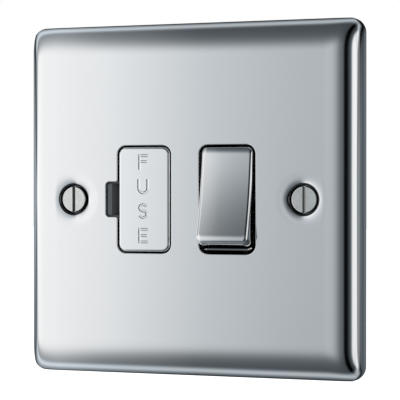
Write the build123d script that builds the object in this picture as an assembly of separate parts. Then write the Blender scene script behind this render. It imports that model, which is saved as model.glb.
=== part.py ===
from build123d import *
import math
import os

# Fused spur unit: chrome faceplate with a pull-out fuse carrier and a two-pole rocker switch.
# The front faces -Y, the wall plane is y = 0, the wiring side goes to +Y into the wall box.

# Shared fits and clearances
run_gap = 0.15
face_gap = 0.35
tap_gap = 0.05
arm_gap = 0.05
cut_over = 1.0

# Faceplate: one sheet, pressed with a broad rolled rim
plate_w = 87.0
plate_d = 7.6
sheet_t = 1.0
rim_run = 9.0
rim_drop = 6.4
rim_square = 2.3
rim_corner = 3.7
face_corner = 2.4
rim_steps = (90.0, 75.0, 61.0, 48.0, 36.0, 25.0, 15.0, 8.0, 3.0, 1.0, 0.0)
face_y = -plate_d
sheet_y = face_y + sheet_t

# Openings in the faceplate
fuse_x = -10.95
fuse_open_w = 14.3
open_h = 26.55
open_r = 2.3
switch_x = 10.75
switch_open_w = 14.55
notch_w = 3.15
notch_h = 8.65
notch_r = 1.05

# Fixing screws, M3.5 in drawn cups at standard one-gang centres
fix_pitch = 60.3
fix_r = 1.75
fix_neck_r = 1.5
fix_len = 25.0
fix_tip = 0.5
head_r = 3.2
head_h = 2.6
head_bevel = 0.4
slot_w = 0.8
slot_d = 1.2
cup_r = 3.6
cup_roll = 1.3
cup_seat_y = -4.9
cup_floor = 0.8
cup_hole_r = 2.1
fix_neck_end = 0.0

# Two-part moulding behind the faceplate
body_w = 49.0
body_h = 58.0
wall_t = 1.6
flange_t = 2.0
bay_wall = 1.4
joint_y = 5.0
floor_y = 17.0
back_y = 19.0
flange_y = sheet_y + flange_t
body_r = 3.0
back_bevel = 0.8
panel_w = 36.0
panel_h = 26.0
panel_d = 0.5
ledge_w = 2.35
ledge_gap = 0.35
ledge_ease = 0.3
ledge_rise = 0.65
ramp_start = 1.15
pry_depth = 1.5

# Case screws and the tapped pillars welded to the faceplate
pillar_inset_x = 4.6
pillar_inset_z = 4.2
pillar_r = 2.4
pillar_end = 3.0
boss_r = 2.9
case_r = 1.4
case_tip = -3.0
case_head_r = 2.5
case_head_h = 1.4
case_slot_w = 0.7
case_slot_d = 0.7

# Rocker: concave chrome cap on a moulded core
rock_y = -3.4
rock_half = 11.1
rock_rest = 11.0
rock_w = 13.25
rock_centre_h = 6.1
rock_hollow = 90.0
rock_skirt_h = 1.6
rock_crown = 120.0
rock_edge = 1.0
rock_corner = 1.0
rock_bay_half = 15.2
pivot_r = 1.5
pivot_reach = 8.0
hub_r = 3.2
core_w = 10.6
core_half = 9.6
core_top = 4.9
core_base = 2.0
pole_pitch = 6.5
sleeve_r = 2.2
sleeve_end = 8.2
bore_r = 1.35
bore_end = -1.0
plunger_r = 1.2
plunger_tip_r = 1.0
plunger_start = 4.4
plunger_len = 12.9
spring_r = 0.95
spring_wire = 0.18
spring_pitch = 0.95

# See-saw contact arms
arm_t = 0.8
arm_w = 4.2
arm_top = 12.3
arm_low = 5.0
arm_rest = 8.5
tip_z = 10.5
tip_r = 1.5
tip_t = 0.6
fixed_tip_y = 12.78
fixed_tip_t = 0.62

# Straps and terminals
strap_t = 0.8
tab_y = 7.7
post_foot_y = 14.8
block_w = 6.4
block_len = 9.0
block_slack = 0.6
entry_y = 11.8
entry_r = 2.2
entry_slack = 0.6
term_r = 1.5
term_tip = 14.1
term_head_r = 2.3
term_head_h = 1.4
term_head_y = 17.2
term_slot_w = 0.8
term_slot_d = 0.8
access_r = 2.9
recess_w = 7.2
recess_h = 8.4
recess_d = 0.6
fin_t = 1.2
fin_rise = 2.0
fin_y = 8.0
live_in_x = 5.6
neutral_x = 13.4
live_out_x = -12.0
earth_x = -3.6
earth_strip_x0 = -3.0
earth_strip_x1 = -0.4
leaf_w = 1.8
leaf_slack = 0.3

# Cartridge fuse, 1/4 in x 1 in
cart_r = 3.175
cart_len = 25.4
cap_len = 6.0
cap_wall = 0.255
cap_end = 0.4
cart_y = 1.5
barrel_slack = 0.02

# Fuse carrier, a captive pull-out drawer
carrier_w = fuse_open_w - 2 * face_gap
carrier_h = open_h - 2 * face_gap
carrier_r = open_r - face_gap
carrier_proud = 0.1
carrier_face_d = 2.6
carrier_edge = 0.7
carrier_skin = 0.9
carrier_flange = 1.2
carrier_travel = 13.0
rail_out = 6.6
rail_t = 1.2
rail_half = 3.8
rail_end = 12.0
barb_len = 1.2
barb_out = 0.7
slot_slack = 0.4
grip_half = 5.5
grip_wall = 1.15
grip_mouth = 4.6
web_w = 4.0

# Fuse contact clips
clip_gap = 0.075
clip_t = 0.5
clip_z0 = 7.6
clip_z1 = 12.2
clip_front = -0.5
tab_w = 4.0
tab_z0 = 8.0
common_leg_z = 13.3

# Insulation and seats in the rear moulding
barrier_t = 1.0
barrier_y = 6.0
barrier_slack = 1.8
pad_half = 1.6


def block(x0, x1, y0, y1, z0, z1):
    centre = Pos((x0 + x1) / 2, (y0 + y1) / 2, (z0 + z1) / 2)
    return centre * Box(abs(x1 - x0), abs(y1 - y0), abs(z1 - z0))


def slab(x, z, w, h, y0, y1):
    return block(x - w / 2, x + w / 2, y0, y1, z - h / 2, z + h / 2)


def rod_y(r, x, z, y0, y1):
    return Pos(x, (y0 + y1) / 2, z) * Rot(90, 0, 0) * Cylinder(r, abs(y1 - y0))


def rod_x(r, y, z, x0, x1):
    return Pos((x0 + x1) / 2, y, z) * Rot(0, 90, 0) * Cylinder(r, abs(x1 - x0))


def rod_z(r, x, y, z0, z1):
    return Pos(x, y, (z0 + z1) / 2) * Cylinder(r, abs(z1 - z0))


def front_plane(x, y):
    return Plane(origin=(x, y, 0), x_dir=(1, 0, 0), z_dir=(0, -1, 0))


def tile(x, w, h, r, y0, y1):
    return extrude(front_plane(x, y1) * RectangleRounded(w, h, r), y1 - y0)


def turned(points):
    return revolve(make_face(Polyline(*points, close=True)), Axis.Y)


def rolled_dish(width, depth, run, drop, corner, top_corner):
    skirt = depth - drop
    sections = []
    for step in rim_steps:
        turn = math.radians(step)
        inset = run * (1 - math.sin(turn) ** (2 / rim_square))
        rise = skirt + drop * math.cos(turn) ** (2 / rim_square)
        side = width - 2 * inset
        bend = top_corner + (corner - top_corner) * (1 - inset / run) ** 3
        sections.append(front_plane(0, -rise) * RectangleRounded(side, side, bend))
    rim = loft(sections)
    return rim + tile(0, width, width, corner, -skirt, 0)


def pose_rocker(shape):
    return Pos(0, rock_y, 0) * Rot(-rock_rest, 0, 0) * shape


# Faceplate with its openings, lever notch and drawn screw cups
shell = rolled_dish(plate_w, plate_d, rim_run, rim_drop, rim_corner, face_corner)
shell_in_w = plate_w - 2 * sheet_t
hollow = rolled_dish(shell_in_w, plate_d - sheet_t, rim_run - sheet_t, rim_drop - sheet_t,
                     rim_corner - sheet_t, face_corner)
plate = shell - hollow
fuse_left = fuse_x - fuse_open_w / 2
notch_x = fuse_left - notch_w / 2
plate -= tile(fuse_x, fuse_open_w, open_h, open_r, face_y - cut_over, sheet_y + cut_over)
plate -= tile(switch_x, switch_open_w, open_h, open_r, face_y - cut_over, sheet_y + cut_over)
notch_cut = tile(notch_x + notch_r, notch_w + 2 * notch_r, notch_h, notch_r,
                 face_y - cut_over, sheet_y + cut_over)
plate -= notch_cut
lip_r = cup_r + cup_roll
roll_y = face_y + cup_roll
cup_out = cup_r + cup_floor
cup_back = cup_seat_y + cup_floor
bend_mid = cup_roll * math.sqrt(0.5)
cup_line = [
    ThreePointArc((lip_r, face_y), (lip_r - bend_mid, roll_y - bend_mid), (cup_r, roll_y)),
    Polyline((cup_r, roll_y), (cup_r, cup_seat_y), (cup_hole_r, cup_seat_y), (cup_hole_r, cup_back),
             (cup_out, cup_back), (cup_out, sheet_y), (lip_r, sheet_y), (lip_r, face_y)),
]
cup = revolve(make_face(cup_line), Axis.Y)
for side in (-1, 1):
    x = side * fix_pitch / 2
    plate -= rod_y(lip_r, x, 0, face_y - cut_over, sheet_y + cut_over)
    plate += Pos(x, 0, 0) * cup
front_plate = plate

# Fixing screws, slots upright as they are set in the photograph
head_top = cup_seat_y - head_h
fix_end = cup_seat_y + fix_len
fix_line = [
    (0, head_top),
    (head_r - head_bevel, head_top),
    (head_r, head_top + head_bevel),
    (head_r, cup_seat_y),
    (fix_neck_r, cup_seat_y),
    (fix_neck_r, fix_neck_end),
    (fix_r, fix_neck_end),
    (fix_r, fix_end - fix_tip),
    (fix_r - fix_tip, fix_end),
    (0, fix_end),
]
screw = turned(fix_line)
screw -= slab(0, 0, slot_w, 2 * head_r + cut_over, head_top - cut_over, head_top + slot_d)
fixing_screws = Compound([Pos(side * fix_pitch / 2, 0, 0) * screw for side in (-1, 1)])

# Tapped pillars welded to the back of the faceplate
pillar_x = body_w / 2 - pillar_inset_x
pillar_z = body_h / 2 - pillar_inset_z
pillar_at = [(x, z) for x in (-pillar_x, pillar_x) for z in (-pillar_z, pillar_z)]
pillars = []
for x, z in pillar_at:
    pillar = rod_y(pillar_r, x, z, sheet_y, pillar_end)
    pillars.append(pillar - rod_y(case_r + tap_gap, x, z, case_tip - cut_over, pillar_end + cut_over))
plate_pillars = Compound(pillars)

# Front moulding: flange, fuse bay, rocker bay with its bearings, lever ledge
cavity_w = body_w - 2 * wall_t
cavity_h = body_h - 2 * wall_t
cavity_r = body_r - wall_t
frame = tile(0, body_w, body_h, body_r, sheet_y, joint_y)
frame -= tile(0, cavity_w, cavity_h, cavity_r, flange_y, joint_y + cut_over)
fuse_bay_w = fuse_open_w + 2 * bay_wall
switch_bay_w = switch_open_w + 2 * bay_wall
rock_bay_h = 2 * rock_bay_half
frame += slab(fuse_x, 0, fuse_bay_w, open_h + 2 * bay_wall, flange_y, joint_y)
frame += slab(switch_x, 0, switch_bay_w, rock_bay_h + 2 * bay_wall, flange_y, joint_y)
frame -= tile(fuse_x, fuse_open_w, open_h, open_r, sheet_y - cut_over, joint_y + cut_over)
frame -= slab(switch_x, 0, switch_open_w, rock_bay_h, sheet_y - cut_over, joint_y + cut_over)
frame -= rod_x(pivot_r + run_gap, rock_y, 0, switch_x - switch_bay_w, switch_x + switch_bay_w)
rail_gate = 2 * (rail_half + slot_slack)
barb_front = rail_end - barb_len
stop_y = barb_front - carrier_travel - arm_gap
frame -= slab(fuse_x, 0, fuse_bay_w + cut_over, rail_gate, stop_y, joint_y + cut_over)
notch_left = notch_x - notch_w / 2
ledge_x0 = notch_left + ledge_gap
ledge_x1 = ledge_x0 + ledge_w
ledge_h = notch_h - 2 * ledge_gap
ledge_r = notch_r - ledge_gap
ledge_mid = ledge_x0 + ledge_w / 2
ledge_top = sheet_y - ledge_rise
ledge = tile(ledge_mid, ledge_w, ledge_h, ledge_r, ledge_top, sheet_y + cut_over)
frame += fillet(ledge.faces().sort_by(Axis.Y)[0].edges(), ledge_ease)
pry_y = sheet_y + pry_depth
ramp = Polyline((ledge_x0 + ramp_start, ledge_top - tap_gap), (ledge_x1, pry_y),
                (fuse_left + cut_over, pry_y), (fuse_left + cut_over, ledge_top - tap_gap), close=True)
frame -= Pos(0, 0, -ledge_h / 2) * extrude(make_face(ramp), ledge_h)
for x, z in pillar_at:
    frame -= rod_y(pillar_r + run_gap, x, z, sheet_y - cut_over, flange_y + cut_over)
leaf_x0 = earth_strip_x1 - leaf_w
frame -= block(leaf_x0 - leaf_slack, earth_strip_x1 + leaf_slack, sheet_y - cut_over, flange_y + cut_over,
               -strap_t / 2 - leaf_slack, strap_t / 2 + leaf_slack)
inner_frame = frame

# Rear moulding: floor, walls, screw bosses, pole barrier, wire entries and screw holes
live_pole_x = switch_x - pole_pitch / 2
neutral_pole_x = switch_x + pole_pitch / 2
terminal_at = {
    "live_in": (live_in_x, 1),
    "neutral_in": (neutral_x, 1),
    "earth_in": (earth_x, 1),
    "live_out": (live_out_x, -1),
    "neutral_out": (neutral_x, -1),
    "earth_out": (earth_x, -1),
}
block_z1 = body_h / 2 - wall_t - block_slack
block_z0 = block_z1 - block_len
block_mid = (block_z0 + block_z1) / 2
leg_z = block_z0
barrier_half = block_z0 - barrier_slack
case_head_y = back_y - case_head_h
base = tile(0, body_w, body_h, body_r, joint_y, back_y)
base = chamfer(base.faces().sort_by(Axis.Y)[-1].edges(), back_bevel)
base -= tile(0, cavity_w, cavity_h, cavity_r, joint_y - cut_over, floor_y)
base -= tile(0, panel_w, panel_h, body_r, back_y - panel_d, back_y + cut_over)
for x, z in pillar_at:
    base += rod_y(boss_r, x, z, joint_y, floor_y)
    base -= rod_y(case_r + run_gap, x, z, joint_y - cut_over, back_y + cut_over)
    base -= rod_y(case_head_r + run_gap, x, z, case_head_y, back_y + cut_over)
base += block(switch_x - barrier_t / 2, switch_x + barrier_t / 2, barrier_y, floor_y, -barrier_half, barrier_half)
entry_w = 2 * (entry_r + entry_slack)
for x, side in ((live_in_x, 1), (earth_x, 1), (earth_x, -1), (live_out_x, -1)):
    fin_x = x + (neutral_x - live_in_x) / 2
    base += block(fin_x - fin_t / 2, fin_x + fin_t / 2, fin_y, back_y - back_bevel,
                  side * body_h / 2, side * (body_h / 2 + fin_rise))
for x, side in terminal_at.values():
    base -= slab(x, side * block_mid, recess_w, recess_h, back_y - recess_d, back_y + cut_over)
    base -= rod_y(access_r, x, side * block_mid, floor_y - cut_over, back_y + cut_over)
    base -= block(x - entry_w / 2, x + entry_w / 2, entry_y - entry_w / 2, entry_y + entry_w / 2,
                  side * block_z1, side * (body_h / 2 + cut_over))
fixed_foot_y = fixed_tip_y + fixed_tip_t
fixed_seat_y = fixed_foot_y + strap_t
post_seat_y = post_foot_y + strap_t
tab_seat_y = tab_y + strap_t
for x in (live_pole_x, neutral_pole_x):
    base += slab(x, tip_z, arm_w, 2 * pad_half, fixed_seat_y, floor_y)
    base += slab(x, 0, arm_w, 2 * pad_half, post_seat_y, floor_y)
clip_mid = (clip_z0 + clip_z1) / 2
base += slab(fuse_x, clip_mid, tab_w, 2 * pad_half, post_seat_y, floor_y)
base += slab(fuse_x, -clip_mid, tab_w, 2 * pad_half, tab_seat_y, floor_y)
rear_base = base

# Case screws, through the rear moulding into the pillars
case = rod_y(case_r, 0, 0, case_tip, case_head_y) + rod_y(case_head_r, 0, 0, case_head_y, back_y)
case -= slab(0, 0, case_slot_w, 2 * case_head_r + cut_over, back_y - case_slot_d, back_y + cut_over)
case_screws = Compound([Pos(x, 0, z) * case for x, z in pillar_at])


def terminal(name):
    x, side = terminal_at[name]
    body = block(x - block_w / 2, x + block_w / 2, tab_seat_y, floor_y, side * block_z0, side * block_z1)
    body -= rod_z(entry_r, x, entry_y, side * (block_z0 - cut_over), side * (block_z1 + cut_over))
    return body - rod_y(term_r + tap_gap, x, side * block_mid, entry_y, floor_y + cut_over)


# Brass terminal blocks and their screws
terminal_live_in = terminal("live_in")
terminal_neutral_in = terminal("neutral_in")
terminal_live_out = terminal("live_out")
terminal_neutral_out = terminal("neutral_out")
terminals_earth = Compound([terminal("earth_in"), terminal("earth_out")])
head_end = term_head_y + term_head_h
term = rod_y(term_r, 0, 0, term_tip, term_head_y) + rod_y(term_head_r, 0, 0, term_head_y, head_end)
term -= slab(0, 0, 2 * term_head_r + cut_over, term_slot_w, head_end - term_slot_d, head_end + cut_over)
terminal_screws = Compound([Pos(x, 0, side * block_mid) * term for x, side in terminal_at.values()])


def pole_span(x):
    return x - arm_w / 2, x + arm_w / 2


def fixed_strap(x):
    x0, x1 = pole_span(x)
    tab = block(x0, x1, tab_y, tab_seat_y, leg_z - strap_t, block_z1)
    leg = block(x0, x1, tab_y, fixed_seat_y, leg_z - strap_t, leg_z)
    foot = block(x0, x1, fixed_foot_y, fixed_seat_y, tip_z - tip_r, leg_z)
    return tab + leg + foot


def pivot_post(x):
    x0, x1 = pole_span(x)
    post = block(x0, x1, tab_post_y, post_seat_y, -strap_t / 2, strap_t / 2)
    return post + rod_x(strap_t / 2, tab_post_y, 0, x0, x1)


# Current straps: supply side, switched live to the fuse, fuse to the load, neutral, earth
tab_post_y = rock_y + plunger_len + arm_gap + arm_t
strap_live_in = fixed_strap(live_pole_x)
strap_neutral_in = fixed_strap(neutral_pole_x)
neutral_x0, neutral_x1 = pole_span(neutral_pole_x)
strap_neutral_out = pivot_post(neutral_pole_x)
strap_neutral_out += block(neutral_x0, neutral_x1, post_foot_y, post_seat_y, -leg_z, arm_w / 2)
strap_neutral_out += block(neutral_x0, neutral_x1, tab_y, post_seat_y, -leg_z, strap_t - leg_z)
strap_neutral_out += block(neutral_x0, neutral_x1, tab_y, tab_seat_y, -block_z1, strap_t - leg_z)
live_x0, live_x1 = pole_span(live_pole_x)
tab_x0 = fuse_x - tab_w / 2
tab_x1 = fuse_x + tab_w / 2
strap_live_link = pivot_post(live_pole_x)
strap_live_link += block(tab_x0, live_x1, post_foot_y, post_seat_y, -arm_w / 2, arm_w / 2)
strap_live_link += block(tab_x0, tab_x1, post_foot_y, post_seat_y, -arm_w / 2, common_leg_z)
strap_live_link += block(tab_x0, tab_x1, tab_y, post_seat_y, common_leg_z - strap_t, common_leg_z)
strap_live_link += block(tab_x0, tab_x1, tab_y, tab_seat_y, tab_z0, common_leg_z)
strap_live_out = block(tab_x0, tab_x1, tab_y, tab_seat_y, -block_z1, -tab_z0)
earth_strap = block(earth_strip_x0, earth_strip_x1, tab_y, tab_seat_y, -block_z1, block_z1)
earth_strap += block(leaf_x0, earth_strip_x1, sheet_y, tab_seat_y, -strap_t / 2, strap_t / 2)

# Fuse clips on the straps
jaw_in = cart_r + clip_gap
jaw_out = jaw_in + clip_t


def clip(side):
    body = block(fuse_x - jaw_out, fuse_x + jaw_out, clip_front, tab_y, side * clip_z0, side * clip_z1)
    inner = tab_y - clip_t
    return body - block(fuse_x - jaw_in, fuse_x + jaw_in, clip_front - cut_over, inner,
                        side * (clip_z0 - cut_over), side * (clip_z1 + cut_over))


fuse_clip_supply = clip(1)
fuse_clip_load = clip(-1)

# Silver tips on the fixed straps
fixed_tips = Compound([rod_y(tip_r, x, tip_z, fixed_tip_y, fixed_foot_y) for x in (live_pole_x, neutral_pole_x)])


# See-saw arms, drawn level and then tipped to the open position
def tip_arm(shape):
    return Pos(0, tab_post_y, 0) * Rot(arm_rest, 0, 0) * shape


def arm(x):
    x0, x1 = pole_span(x)
    strip = block(x0, x1, -arm_t, 0, -arm_low, arm_top)
    return tip_arm(strip - rod_x(strap_t / 2 + arm_gap, 0, 0, x0 - cut_over, x1 + cut_over))


def arm_tip(x):
    return tip_arm(rod_y(tip_r, x, tip_z, 0, tip_t))


contact_arm_live = arm(live_pole_x)
contact_arm_neutral = arm(neutral_pole_x)
arm_tip_live = arm_tip(live_pole_x)
arm_tip_neutral = arm_tip(neutral_pole_x)

# Rocker cap: ends on an arc about the pivot, face hollow from end to end and crowned from side to side
end_h = rock_centre_h + rock_half**2 / (2 * rock_hollow)
end_r = math.hypot(rock_half, end_h)
half_w = rock_w / 2
cap = rod_x(end_r, 0, 0, -half_w, half_w)
cap -= block(-rock_w, rock_w, -rock_skirt_h, 2 * end_r, -2 * end_r, 2 * end_r)
saddle_w = half_w + cut_over
saddle_y = -rock_centre_h - rock_hollow
saddle_edge = saddle_w**2 / (2 * rock_crown) - rock_centre_h
saddle_line = [
    ThreePointArc((-saddle_w, saddle_edge), (0, -rock_centre_h), (saddle_w, saddle_edge)),
    Polyline((saddle_w, saddle_edge), (saddle_w, saddle_y), (-saddle_w, saddle_y), (-saddle_w, saddle_edge)),
]
cap -= revolve(make_face(saddle_line), Axis((0, saddle_y, 0), (1, 0, 0)))
side_faces = cap.faces().filter_by(Axis.X)
corner_edges = [e for e in side_faces.edges() if e.center().Y > -end_h and abs(e.center().Z) > rock_half]
cap = fillet(corner_edges, rock_corner)
face_edges = [e for e in cap.edges() if e.center().Y < -rock_centre_h + rock_edge and e.length > rock_edge]
cap = fillet(face_edges, rock_edge)
cap = Pos(switch_x, 0, 0) * cap
cap -= slab(switch_x, 0, core_w, 2 * core_half, -core_top, -rock_skirt_h + cut_over)
rocker_cap = pose_rocker(cap)

# Rocker core with pivots and plunger sleeves
core = slab(switch_x, 0, core_w, 2 * core_half, -core_top, -core_base)
core += rod_x(hub_r, 0, 0, switch_x - core_w / 2, switch_x + core_w / 2)
core += rod_x(pivot_r, 0, 0, switch_x - pivot_reach, switch_x + pivot_reach)
for x in (live_pole_x, neutral_pole_x):
    core += rod_y(sleeve_r, x, 0, 0, sleeve_end)
for x in (live_pole_x, neutral_pole_x):
    core -= rod_y(bore_r, x, 0, bore_end, sleeve_end + cut_over)
rocker_core = pose_rocker(core)

# Spring plungers in the core
ball_y = plunger_len - plunger_tip_r
plunger_line = [
    Polyline((0, plunger_start), (plunger_r, plunger_start), (plunger_r, ball_y), (plunger_tip_r, ball_y)),
    ThreePointArc((plunger_tip_r, ball_y), (plunger_tip_r * math.sqrt(0.5), ball_y + plunger_tip_r * math.sqrt(0.5)),
                  (0, plunger_len)),
    Line((0, plunger_len), (0, plunger_start)),
]
plunger = revolve(make_face(plunger_line), Axis.Y)
plungers = pose_rocker(Compound([Pos(x, 0, 0) * plunger for x in (live_pole_x, neutral_pole_x)]))
spring_y0 = bore_end + spring_wire
spring_len = plunger_start - spring_wire - spring_y0
coil = Helix(spring_pitch, spring_len, spring_r)
wire_end = Plane(coil @ 0, z_dir=coil % 0) * Rectangle(2 * spring_wire, 2 * spring_wire)
spring = Pos(0, spring_y0, 0) * Rot(-90, 0, 0) * sweep(wire_end, path=coil)
plunger_springs = pose_rocker(Compound([Pos(x, 0, 0) * spring for x in (live_pole_x, neutral_pole_x)]))

# Fuse carrier: chrome front on a moulded drawer
carrier_front = face_y - carrier_proud
carrier_back = carrier_front + carrier_face_d
front = tile(fuse_x, carrier_w, carrier_h, carrier_r, carrier_front, carrier_back)
front = fillet(front.faces().sort_by(Axis.Y)[0].edges(), carrier_edge)
pocket_w = carrier_w - 2 * carrier_skin
pocket_h = carrier_h - 2 * carrier_skin
pocket_y = carrier_front + carrier_skin
front -= tile(fuse_x, pocket_w, pocket_h, carrier_r - carrier_skin, pocket_y, carrier_back + cut_over)
carrier_face = front
flange_end = carrier_back + carrier_flange
drawer = tile(fuse_x, pocket_w, pocket_h, carrier_r - carrier_skin, pocket_y, carrier_back)
drawer += tile(fuse_x, carrier_w, carrier_h, carrier_r, carrier_back, flange_end)
barrel_r = cart_r - cap_wall
grip_in = barrel_r + run_gap
grip_out = grip_in + grip_wall
drawer += slab(fuse_x, 0, web_w, 2 * grip_half, flange_end, cart_y)
drawer += rod_z(grip_out, fuse_x, cart_y, -grip_half, grip_half)
drawer -= rod_z(grip_in, fuse_x, cart_y, -grip_half - cut_over, grip_half + cut_over)
drawer -= slab(fuse_x, 0, grip_mouth, 2 * grip_half + cut_over, cart_y, cart_y + 2 * grip_out)
for side in (-1, 1):
    outer = fuse_x + side * rail_out
    inner = outer - side * rail_t
    drawer += block(inner, outer, flange_end, rail_end, -rail_half, rail_half)
    drawer += block(inner, outer + side * barb_out, barb_front, rail_end, -rail_half, rail_half)
carrier_body = drawer

# Cartridge fuse lying upright in the carrier
half_cart = cart_len / 2
fuse_barrel = rod_z(barrel_r, fuse_x, cart_y, cap_end - half_cart, half_cart - cap_end)
caps = []
for side in (-1, 1):
    ferrule = rod_z(cart_r, fuse_x, cart_y, side * (half_cart - cap_len), side * half_cart)
    caps.append(ferrule - rod_z(barrel_r + barrel_slack, fuse_x, cart_y, 0, side * (half_cart - cap_end)))
fuse_caps = Compound(caps)

nodes = {
    "front_plate": front_plate,
    "fixing_screws": fixing_screws,
    "plate_pillars": plate_pillars,
    "inner_frame": inner_frame,
    "rear_base": rear_base,
    "case_screws": case_screws,
    "terminal_live_in": terminal_live_in,
    "terminal_neutral_in": terminal_neutral_in,
    "terminal_live_out": terminal_live_out,
    "terminal_neutral_out": terminal_neutral_out,
    "terminals_earth": terminals_earth,
    "terminal_screws": terminal_screws,
    "strap_live_in": strap_live_in,
    "strap_neutral_in": strap_neutral_in,
    "strap_live_link": strap_live_link,
    "strap_live_out": strap_live_out,
    "strap_neutral_out": strap_neutral_out,
    "earth_strap": earth_strap,
    "fuse_clip_supply": fuse_clip_supply,
    "fuse_clip_load": fuse_clip_load,
    "fixed_tips": fixed_tips,
    "contact_arm_live": contact_arm_live,
    "contact_arm_neutral": contact_arm_neutral,
    "arm_tip_live": arm_tip_live,
    "arm_tip_neutral": arm_tip_neutral,
    "rocker_cap": rocker_cap,
    "rocker_core": rocker_core,
    "plungers": plungers,
    "plunger_springs": plunger_springs,
    "carrier_face": carrier_face,
    "carrier_body": carrier_body,
    "fuse_barrel": fuse_barrel,
    "fuse_caps": fuse_caps,
}
os.makedirs("parts", exist_ok=True)
for name, shape in nodes.items():
    export_step(shape, f"parts/{name}.step")
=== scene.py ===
import math
import bmesh
import bpy
from mathutils import Matrix, Vector


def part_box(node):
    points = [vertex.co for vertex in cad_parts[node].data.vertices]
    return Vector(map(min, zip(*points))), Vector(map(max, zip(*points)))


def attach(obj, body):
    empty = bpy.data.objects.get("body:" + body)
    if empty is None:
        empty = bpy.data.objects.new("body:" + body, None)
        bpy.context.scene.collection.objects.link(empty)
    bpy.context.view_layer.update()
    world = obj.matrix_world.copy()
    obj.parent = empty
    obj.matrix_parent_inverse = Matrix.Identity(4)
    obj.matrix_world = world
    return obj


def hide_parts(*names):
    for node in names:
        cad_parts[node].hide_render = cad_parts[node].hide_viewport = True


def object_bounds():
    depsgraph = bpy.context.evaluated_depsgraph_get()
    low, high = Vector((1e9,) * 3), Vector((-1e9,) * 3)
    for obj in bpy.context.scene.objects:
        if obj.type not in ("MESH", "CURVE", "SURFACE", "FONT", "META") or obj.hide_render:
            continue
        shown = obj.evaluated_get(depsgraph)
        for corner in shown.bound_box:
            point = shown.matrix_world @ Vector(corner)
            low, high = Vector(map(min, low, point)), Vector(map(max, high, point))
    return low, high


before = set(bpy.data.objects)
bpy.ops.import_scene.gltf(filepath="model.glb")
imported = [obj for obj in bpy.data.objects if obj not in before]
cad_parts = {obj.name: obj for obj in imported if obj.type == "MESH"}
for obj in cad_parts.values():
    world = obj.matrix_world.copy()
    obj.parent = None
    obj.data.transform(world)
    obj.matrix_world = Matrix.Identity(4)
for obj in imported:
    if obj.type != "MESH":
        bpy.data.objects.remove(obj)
cad_low, cad_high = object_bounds()

# Studio: a plain white room, as the camera and the pale floor show it. What polished chrome mirrors is a
# broad soft panel on the left of the plate, a dim room ahead of it and a narrow bright strip on the right.
studio = bpy.context.scene
studio.view_settings.view_transform = "Standard"
half_turn = 180
red_loss = 0.15
blue_gain = 0.12


def add(tree, kind, sockets=None, **settings):
    made = tree.nodes.new("ShaderNode" + kind)
    for name, value in settings.items():
        setattr(made, name, value)
    for name, value in (sockets or {}).items():
        if isinstance(value, bpy.types.NodeSocket):
            tree.links.new(value, made.inputs[name])
        else:
            made.inputs[name].default_value = value
    return made


def reckon(tree, operation, *values):
    return add(tree, "Math", dict(enumerate(values)), operation=operation).outputs[0]


def grade(tree, factor, stops):
    made = add(tree, "ValToRGB", {"Fac": factor})
    marks = made.color_ramp.elements
    while len(marks) < len(stops):
        marks.new(0.5)
    for mark, (place, colour) in zip(marks, stops):
        mark.position = place
        mark.color = (*colour, 1.0)
    return made.outputs["Color"]


def blend_colours(tree, factor, first, second, way="MIX"):
    sockets = {"Factor": factor, 6: first, 7: second}
    return add(tree, "Mix", sockets, data_type="RGBA", blend_type=way).outputs[2]


def even_grey(level):
    return level, level, level


def cool_grey(level):
    dim = max(0.0, 1.0 - level)
    return level * (1.0 - red_loss * dim), level, level * (1.0 + blue_gain * dim)


def grade_across(tree, across, pairs, colour):
    return grade(tree, across, [((x + 1) / 2, colour(level)) for x, level in pairs])


def grade_over(tree, tilt, pairs, colour):
    return grade(tree, tilt, [(degrees / half_turn, colour(level)) for degrees, level in pairs])


# Each pair is a place in the mirrored room and what is there. The place is a share from -1 on the left to 1
# on the right, or, for gloom_ends and strip_behind, the degrees up and over from 0 ahead to 180 behind.
panel_levels = [(-1.0, 1.06), (-0.95, 1.0), (-0.88, 0.95), (-0.8, 0.935), (-0.72, 0.93), (-0.45, 0.925),
                (-0.435, 0.918), (-0.428, 0.9), (-0.421, 0.872), (-0.407, 0.838), (-0.393, 0.772),
                (-0.374, 0.69), (-0.354, 0.605), (-0.334, 0.555), (-0.32, 0.525), (-0.3, 0.492),
                (-0.28, 0.487), (-0.17, 0.51), (-0.05, 0.5), (0.025, 0.467), (0.104, 0.41),
                (0.184, 0.335), (0.272, 0.228), (0.366, 0.161), (0.457, 0.12), (0.51, 0.075),
                (0.56, 0.004), (0.68, 0.004), (0.79, 0.06), (0.863, 0.16), (0.921, 0.86), (1.0, 0.95)]
panel_spread = [(-1.0, 41), (-0.43, 41), (-0.41, 32), (-0.384, 27.5), (-0.358, 24), (-0.331, 22.5),
                (-0.304, 21.5), (0.5, 21.5), (0.75, 30), (0.9, 50), (0.95, 110), (1.0, 110)]
panel_lean = [(-0.43, 0.15), (-0.41, 0.3), (-0.384, 0.4), (-0.3, 0.5)]
panel_edge = 3.4
lean_reach = 0.12
room_gloom = [(-1.0, 0.25), (-0.43, 0.25), (-0.41, 0.17), (-0.384, 0.13), (-0.358, 0.083), (-0.3, 0.075),
              (0.4, 0.06), (0.55, 0.0), (0.7, 0.0), (0.8, 0.05), (1.0, 0.05)]
gloom_ends = [(135, 1.0), (148, 0.12), (165, 0.12), (176, 1.0)]
strip_behind = [(80, 0.0), (86, 0.04), (91, 0.12), (100, 0.36), (106, 0.42), (114, 0.42), (122, 0.28),
                (132, 0.12), (142, 0.05), (150, 0.0), (165, 0.0), (176, 0.1)]
strip_sag = 16
room = bpy.data.worlds.new("studio_room")
studio.world = room
room.use_nodes = True
tree = room.node_tree
tree.nodes.clear()
ray = add(tree, "SeparateXYZ", {0: add(tree, "TexCoord").outputs["Generated"]}).outputs
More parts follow.
